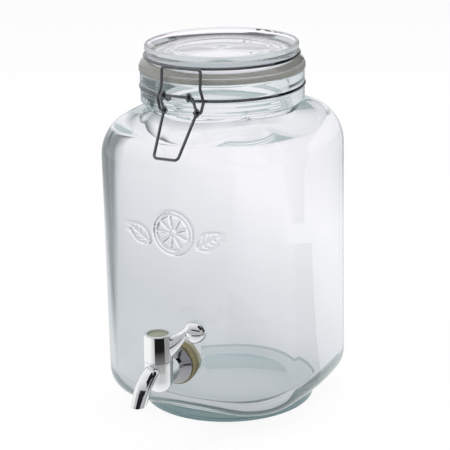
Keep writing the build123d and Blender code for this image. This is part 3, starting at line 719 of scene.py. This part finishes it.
glassSockets = {"Transmission Weight": 1.0, "IOR": 1.5, "Metallic": 0.0}
metalSockets = {"Metallic": 1.0}
finishes = {
    "jar_glass": {
        "sockets": glassSockets, "light": (1.0, 1.0, 1.0), "dark": (0.985, 0.995, 0.99), "tint": 14,
        "marks": (18, 260), "roughness": (0.0, 0.02), "bump": 0.03,
        "glass": {
            "absorption": (0.2, 0.42, 0.425), "density": 17.0,
            # painted shade: the edge tone darkens the jar's glass where it is seen at a slant
            "edge": (0.10, 0.14, 0.15), "edgeEnds": (0.74, 0.93), "levelEnds": (0.2, 0.5),
            # painted glow: the tones the jar's glass glows with where light is caught deep inside
            "deepGlowHigh": (0.725, 0.745, 0.77), "deepGlowLow": (0.10, 0.145, 0.14), "deepAfter": 3.5,
            "deepEnds": (-14 * mm, 34 * mm), "deepLean": (-0.12, 0.28, 1.0),
        },
    },
    "lid_glass": {
        "sockets": glassSockets, "light": (1.0, 1.0, 1.0), "dark": (0.985, 0.995, 0.99), "tint": 20,
        "marks": (24, 260), "roughness": (0.0, 0.02), "bump": 0.03,
        "glass": {
            "absorption": (0.2, 0.34, 0.33), "density": 3.0,
            # painted shade: the edge tone darkens the lid's glass where it is seen at a slant
            "edge": (0.30, 0.34, 0.36), "edgeEnds": (0.80, 1.0), "levelEnds": (0.9, 1.0),
            # painted glow: the tone the lid's glass glows with where light is caught deep inside
            "deepGlowHigh": (0.62, 0.65, 0.69), "deepGlowLow": (0.62, 0.65, 0.69), "deepAfter": 3.5,
            "deepEnds": (15 * mm, 70 * mm), "deepLean": (0.0, 0.0, 1.0),
        },
    },
    "gasket_rubber": {
        "sockets": {"Specular IOR Level": 0.35}, "light": (0.27, 0.27, 0.245), "dark": (0.20, 0.20, 0.18),
        "tint": 90, "marks": (70, 1600), "roughness": (0.42, 0.62), "bump": 0.25,
    },
    "wire_steel": {
        "sockets": metalSockets, "light": (0.22, 0.225, 0.235), "dark": (0.09, 0.095, 0.10),
        "tint": 140, "marks": (160, 2200), "roughness": (0.04, 0.12), "bump": 0.05,
    },
    "washer_rubber": {
        "sockets": {"Specular IOR Level": 0.4}, "light": (0.26, 0.22, 0.12), "dark": (0.15, 0.125, 0.06),
        "tint": 110, "marks": (90, 1500), "roughness": (0.35, 0.55), "bump": 0.2,
    },
    "nut_plastic": {
        "sockets": {}, "light": (0.38, 0.36, 0.255), "dark": (0.30, 0.285, 0.19),
        "tint": 100, "marks": (80, 1300), "roughness": (0.3, 0.45), "bump": 0.1,
    },
    "tap_chrome": {
        "sockets": metalSockets, "light": (0.90, 0.905, 0.91), "dark": (0.84, 0.845, 0.85),
        "tint": 60, "marks": (70, 1800), "roughness": (0.03, 0.09), "bump": 0.012,
    },
    # A darker copy of the tap's chrome: painted shade on the flange.
    "shaded_flange_chrome": {
        "sockets": metalSockets, "light": (0.38, 0.385, 0.395), "dark": (0.31, 0.315, 0.325),
        "tint": 60, "marks": (70, 1800), "roughness": (0.04, 0.10), "bump": 0.012,
    },
    "valve_brass": {
        "sockets": metalSockets, "light": (0.80, 0.62, 0.30), "dark": (0.66, 0.49, 0.22),
        "tint": 150, "marks": (120, 1800), "roughness": (0.22, 0.38), "bump": 0.06,
    },
    "seal_rubber": {
        "sockets": {"Specular IOR Level": 0.35}, "light": (0.035, 0.035, 0.036), "dark": (0.018, 0.018, 0.019),
        "tint": 200, "marks": (150, 2400), "roughness": (0.4, 0.6), "bump": 0.15,
    },
    "screw_steel": {
        "sockets": metalSockets, "light": (0.66, 0.66, 0.65), "dark": (0.52, 0.52, 0.52),
        "tint": 220, "marks": (180, 2600), "roughness": (0.2, 0.34), "bump": 0.06,
    },
    "cap_plastic": {
        "sockets": {}, "light": (0.28, 0.295, 0.215), "dark": (0.20, 0.21, 0.145),
        "tint": 130, "marks": (110, 1700), "roughness": (0.28, 0.42), "bump": 0.1,
    },
}
materials = {name: makeFinish(name, finish) for name, finish in finishes.items()}

piecesOf = {
    "gasket_rubber": ["lid_gasket"],
    "wire_steel": ["neck_band", "lid_band", "clasp_lever", "clasp_yoke"],
    "washer_rubber": ["outer_washer", "inner_washer"],
    "nut_plastic": ["lock_nut"],
    "tap_chrome": ["tap_body", "tap_handle", "handle_knob"],
    "shaded_flange_chrome": ["tap_flange"],
    "valve_brass": ["gland_ring", "valve_plug"],
    "seal_rubber": ["lower_seal", "upper_seal"],
    "screw_steel": ["handle_screw"],
    "cap_plastic": ["hub_cap"],
}
for finish, names in piecesOf.items():
    for name in names:
        cadNodes[name].data.materials.clear()
        cadNodes[name].data.materials.append(materials[finish])
for piece, finish in ((jarPiece, "jar_glass"), (lidPiece, "lid_glass")):
    piece.data.materials.append(materials[finish])
    piece.visible_shadow = False
print("materials set on", sum(map(len, piecesOf.values())) + 2, "pieces")


# Stage: floor, world, strips and cards for the polished metal, and lamps

white = (1.0, 1.0, 1.0, 1)
tapPlace = (0, -0.1, 1.5 * mm)
studio = {
    "floorSize": 8.0,
    "floorDrop": 0.3 * mm,
    "floorColour": (0.9, 0.9, 0.9, 1),
    "floorGlow": 0.85,
    "daylight": (0.62, 0.63, 0.64, 1),
    "lowSky": (0.52, 0.53, 0.56, 1),
    "highSky": (0.95, 0.95, 0.96, 1),
    "skyLean": (-0.35, 0.66, 0.9),
    # painted reflection: the paper's grey patch and far dark are seen only in the metal
    "patchNear": (0.50, 0.505, 0.525, 1),
    "patchPlace": (0.75, -0.75, 0),
    "patchReach": (0.86, 1.0),
    "farDark": (0.36, 0.36, 0.37, 1),
    "farReach": (0.46, 0.66),
    # painted shade: the paper seen through the glass is grey near the jar
    "paperShadeNear": (0.645, 0.638, 0.685, 1),
    "paperFar": (1.13, 1.065, 1.12, 1),
    "paperReach": (0.10, 0.60),
    "paperSide": (0.8829, 0.4695, 0),
    "paperLean": 1.7,
    # painted shade, seen through the glass far to one side
    "sideShade": (0.03, 0.05, 0.055, 1),
    "floorShadeEnds": (-0.15, -0.25),
    "skyShadeEnds": (-0.14, -0.55),
    "stripSteps": 40,
    "strips": [
        {
            "name": "darkSweep", "middle": tapPlace, "axis": (0, 0, -1), "across": (1, 0, 0), "span": (-88, -8),
            "reach": (0.135, 0.268), "lift": (0, 0), "fade": (0.14, 0.205), "glow": (0.45, 0.012),
        },
        {
            "name": "greySweep", "middle": tapPlace, "axis": (0, 0, -1), "across": (1, 0, 0), "span": (-8, 56),
            "reach": (0.15, 0.5), "lift": (0, 0), "fade": (0.15, 0.2), "glow": (0.5, 0.33),
        },
        {
            "name": "darkArch", "middle": (0.13, 0.33, 0), "axis": (0.29, 0.957, 0),
            "across": (0.957, -0.29, 0), "span": (-8, 125),
            "reach": (0.30, 0.66), "lift": (0, 0), "fade": (0, 1), "glow": (0.015, 0.015),
        },
        {
            "name": "darkHoop", "middle": (0, -0.127, 0.041), "axis": (0, 0.454, 0.891),
            "across": (1, 0, 0), "span": (16, 98),
            "reach": (0.69, 0.68), "lift": (0.035, 0.18), "fade": (0, 1), "glow": (0.015, 0.015),
        },
    ],
    "cards": [
        {"name": "darkSide", "middle": (0.36, 0.27, 0.16), "size": (0.13, 0.34), "glow": 0.012},
        {"name": "darkWing", "middle": (0.434, -0.038, 0.41), "size": (0.26, 0.42), "glow": 0.012},
        {"name": "paleSide", "middle": (-0.90, -0.22, 0.36), "size": (0.9, 0.7), "glow": 1.0},
    ],
    "lamps": [
        {"name": "keyBox", "place": (-1.0, -0.9, 1.5), "size": 1.1, "power": 16},
        {"name": "fillBox", "place": (1.3, -0.5, 1.2), "size": 1.0, "power": 7},
        {"name": "topBox", "place": (0.1, 0.5, 1.9), "size": 1.4, "power": 12},
    ],
    "lampAim": (0, 0, 0.1),
}


def makeSheet(name, points, faces):
    mesh = bpy.data.meshes.new(name)
    mesh.from_pydata(points, [], faces)
    sheet = bpy.data.objects.new(name, mesh)
    scene.collection.objects.link(sheet)
    return sheet


def makeFloor():
    half, low = studio["floorSize"] / 2, -studio["floorDrop"]
    corners = [(-half, -half, low), (half, -half, low), (half, half, low), (-half, half, low)]
    return makeSheet("paperFloor", corners, [(0, 1, 2, 3)])


def makeStrip(strip):
    # A bent strip between two edges, each middle + reach (across cos t + ahead sin t) + lift along the axis.
    axis, across = np.array(strip["axis"]), np.array(strip["across"])
    turn = np.radians(np.linspace(*strip["span"], studio["stripSteps"]))[:, None, None]
    reach, lift = (np.array(strip[key])[:, None] for key in ("reach", "lift"))
    ring = np.cos(turn) * across + np.sin(turn) * np.cross(across, axis)
    points = (strip["middle"] + reach * ring + lift * axis).reshape(-1, 3)
    step = np.arange(len(turn) - 1)[:, None] * 2
    return makeSheet(strip["name"], points.tolist(), (step + [0, 1, 3, 2]).tolist())


def makeCard(card):
    # A rectangle that faces the tap: its middle plus and minus half its width and height.
    middle = Vector(card["middle"])
    facing = (Vector(tapPlace) - middle).normalized()
    right = facing.cross(Vector((0, 0, 1))).normalized() * card["size"][0] / 2
    up = right.cross(facing).normalized() * card["size"][1] / 2
    corners = [middle - right - up, middle + right - up, middle + right + up, middle - right + up]
    return makeSheet(card["name"], corners, [(0, 1, 2, 3)])


def emptyMaterial(name):
    material = bpy.data.materials.new(name)
    material.use_nodes = True
    material.node_tree.nodes.remove(material.node_tree.nodes["Principled BSDF"])
    return material, material.node_tree.nodes, material.node_tree.links.new


def feed(link, given, socket):
    # A socket takes either a fixed colour or the output of another node.
    if isinstance(given, tuple):
        socket.default_value = given
    else:
        link(given, socket)


def rayMix(nodes, link, start, *steps):
    # A chain of colour mixes: each step puts its own colour in for one kind of ray, and later steps win.
    path = addNode(nodes, "LightPath")
    colour = start
    for ray, value in steps:
        mix = addMix(nodes)
        link(path.outputs[ray], mix.inputs["Factor"])
        feed(link, colour, mix.inputs["A"])
        feed(link, value, mix.inputs["B"])
        colour = mix.outputs["Result"]
    return path, colour


def shadeToSide(nodes, link, value, ends, colour):
    # Painted shade, seen only through glass: far to one side the colour goes over to the shade between two
    # ends of a value.
    fade, shade = addRange(nodes, ends), addMix(nodes, {"B": studio["sideShade"]})
    feed(link, colour, shade.inputs["A"])
    link(value, fade.inputs["Value"])
    link(fade.outputs["Result"], shade.inputs["Factor"])
    return shade.outputs["Result"]


def paperSeenThrough(nodes, link):
    # Paper as seen through the glass, with painted shade: grey near the jar and brighter by distance from
    # near to far, brighter toward one side and dark on the other.
    place, length = addNode(nodes, "TexCoord"), addVector(nodes, "LENGTH")
    lean = addVector(nodes, "DOT_PRODUCT", {1: studio["paperSide"]})
    reach = addMath(nodes, "MULTIPLY_ADD", {1: studio["paperLean"]})
    fade = addRange(nodes, studio["paperReach"])
    mix = addMix(nodes, {"A": studio["paperShadeNear"], "B": studio["paperFar"]})
    link(place.outputs["Object"], length.inputs[0])
    link(place.outputs["Object"], lean.inputs[0])
    link(lean.outputs["Value"], reach.inputs[0])
    link(length.outputs["Value"], reach.inputs[2])
    link(reach.outputs["Value"], fade.inputs["Value"])
    link(fade.outputs["Result"], mix.inputs["Factor"])
    return shadeToSide(nodes, link, lean.outputs["Value"], studio["floorShadeEnds"], mix.outputs["Result"])


def paperInMetal(nodes, link):
    # Painted reflection: as the metal sees it, the paper has a grey patch in front of the tap, going to white
    # by distance from the patch's middle, and dark far off.
    place, length = addNode(nodes, "TexCoord"), addVector(nodes, "LENGTH")
    away = addVector(nodes, "DISTANCE", {1: studio["patchPlace"]})
    fade, far = addRange(nodes, studio["patchReach"]), addRange(nodes, studio["farReach"])
    patch, dark = addMix(nodes, {"A": studio["patchNear"], "B": white}), addMix(nodes, {"B": studio["farDark"]})
    link(place.outputs["Object"], away.inputs[0])
    link(away.outputs["Value"], fade.inputs["Value"])
    link(fade.outputs["Result"], patch.inputs["Factor"])
    link(place.outputs["Object"], length.inputs[0])
    link(length.outputs["Value"], far.inputs["Value"])
    link(far.outputs["Result"], dark.inputs["Factor"])
    link(patch.outputs["Result"], dark.inputs["A"])
    return dark.outputs["Result"]


def makeFloorMaterial():
    # Paper that glows, but keeps a share of its own shading so that the shadow stays. Diffuse rays see plain
    # paper; the others see the tone made for them.
    material, nodes, link = emptyMaterial("paperFloor")
    paper = addNode(nodes, "BsdfDiffuse", values={"Color": studio["floorColour"]})
    glow, mix = addNode(nodes, "Emission"), addNode(nodes, "MixShader")
    seen = addMath(nodes, "SUBTRACT", {0: 1.0})
    share = addMath(nodes, "MULTIPLY", {1: studio["floorGlow"]})
    path, colour = rayMix(
        nodes, link, white, ("Is Glossy Ray", paperInMetal(nodes, link)),
        ("Is Transmission Ray", paperSeenThrough(nodes, link)), ("Is Camera Ray", white),
    )
    link(path.outputs["Is Diffuse Ray"], seen.inputs[1])
    link(seen.outputs["Value"], share.inputs[0])
    link(share.outputs["Value"], mix.inputs["Fac"])
    link(colour, glow.inputs["Color"])
    link(paper.outputs["BSDF"], mix.inputs[1])
    link(glow.outputs["Emission"], mix.inputs[2])
    link(mix.outputs["Shader"], nodes["Material Output"].inputs["Surface"])
    return material


def makeGlowMaterial(name, fadeEnds, glowEnds):
    # Glow that goes from one strength to another by distance from the tap.
    material, nodes, link = emptyMaterial(name)
    place, glow = addNode(nodes, "TexCoord"), addNode(nodes, "Emission")
    away, fade = addVector(nodes, "DISTANCE", {1: tapPlace}), addRange(nodes, fadeEnds, glowEnds)
    link(place.outputs["Object"], away.inputs[0])
    link(away.outputs["Value"], fade.inputs["Value"])
    link(fade.outputs["Result"], glow.inputs["Strength"])
    link(glow.outputs["Emission"], nodes["Material Output"].inputs["Surface"])
    return material


def makeWorld():
    # White for the camera, and bright with one dark side through glass. In reflections a soft sky, brighter
    # overhead and behind. Plain daylight for the rest.
    world = bpy.data.worlds.new("studioWorld")
    scene.world = world
    world.use_nodes = True
    nodes, link = world.node_tree.nodes, world.node_tree.links.new
    place, sky = addNode(nodes, "TexCoord"), addMix(nodes, {"A": studio["lowSky"], "B": studio["highSky"]})
    lean = addVector(nodes, "DOT_PRODUCT", {1: studio["skyLean"]})
    side = addVector(nodes, "DOT_PRODUCT", {1: studio["paperSide"]})
    link(place.outputs["Generated"], lean.inputs[0])
    link(lean.outputs["Value"], sky.inputs["Factor"])
    link(place.outputs["Generated"], side.inputs[0])
    # painted shade: through the glass the sky goes dark far to one side
    seen = shadeToSide(nodes, link, side.outputs["Value"], studio["skyShadeEnds"], studio["paperFar"])
    colour = rayMix(
        nodes, link, studio["daylight"], ("Is Glossy Ray", sky.outputs["Result"]),
        ("Is Transmission Ray", seen), ("Is Camera Ray", white),
    )[1]
    link(colour, nodes["Background"].inputs["Color"])


def makeLamp(lamp):
    data = bpy.data.lights.new(lamp["name"], "AREA")
    data.energy, data.size = lamp["power"], lamp["size"]
    light = bpy.data.objects.new(lamp["name"], data)
    light.location = lamp["place"]
    light.visible_glossy = light.visible_transmission = False
    light.rotation_euler = (Vector(studio["lampAim"]) - light.location).to_track_quat("-Z", "Y").to_euler()
    scene.collection.objects.link(light)


makeFloor().data.materials.append(makeFloorMaterial())
surrounds = [(makeStrip(strip), strip["fade"], strip["glow"]) for strip in studio["strips"]]
surrounds += [(makeCard(card), (0, 1), (card["glow"], card["glow"])) for card in studio["cards"]]
for sheet, fadeEnds, glowEnds in surrounds:
    sheet.data.materials.append(makeGlowMaterial(sheet.name, fadeEnds, glowEnds))
    sheet.visible_camera = sheet.visible_diffuse = sheet.visible_transmission = sheet.visible_shadow = False
for lamp in studio["lamps"]:
    makeLamp(lamp)
makeWorld()
print("stage and lamps set")


# Camera at the photograph's viewing angle

view = {
    "place": (0.5683, -1.0695, 0.5004),
    "heading": (-0.4695, 0.8829),
    "pitch": math.radians(17.215),
    "roll": math.radians(-1.25),
    "lens": 143.33,
    "sensor": 36.0,
    "bounces": 24,
}
cameraData = bpy.data.cameras.new("photoCamera")
cameraData.lens, cameraData.sensor_width, cameraData.sensor_fit = view["lens"], view["sensor"], "HORIZONTAL"
camera = bpy.data.objects.new("photoCamera", cameraData)
level = math.cos(view["pitch"])
look = Vector((view["heading"][0] * level, view["heading"][1] * level, -math.sin(view["pitch"])))
camera.location = view["place"]
camera.rotation_mode = "QUATERNION"
camera.rotation_quaternion = look.to_track_quat("-Z", "Y") @ Quaternion((0, 0, 1), view["roll"])
scene.collection.objects.link(camera)
scene.camera = camera
scene.view_settings.view_transform = "Standard"
scene.cycles.max_bounces = scene.cycles.transmission_bounces = view["bounces"]
print("camera set")
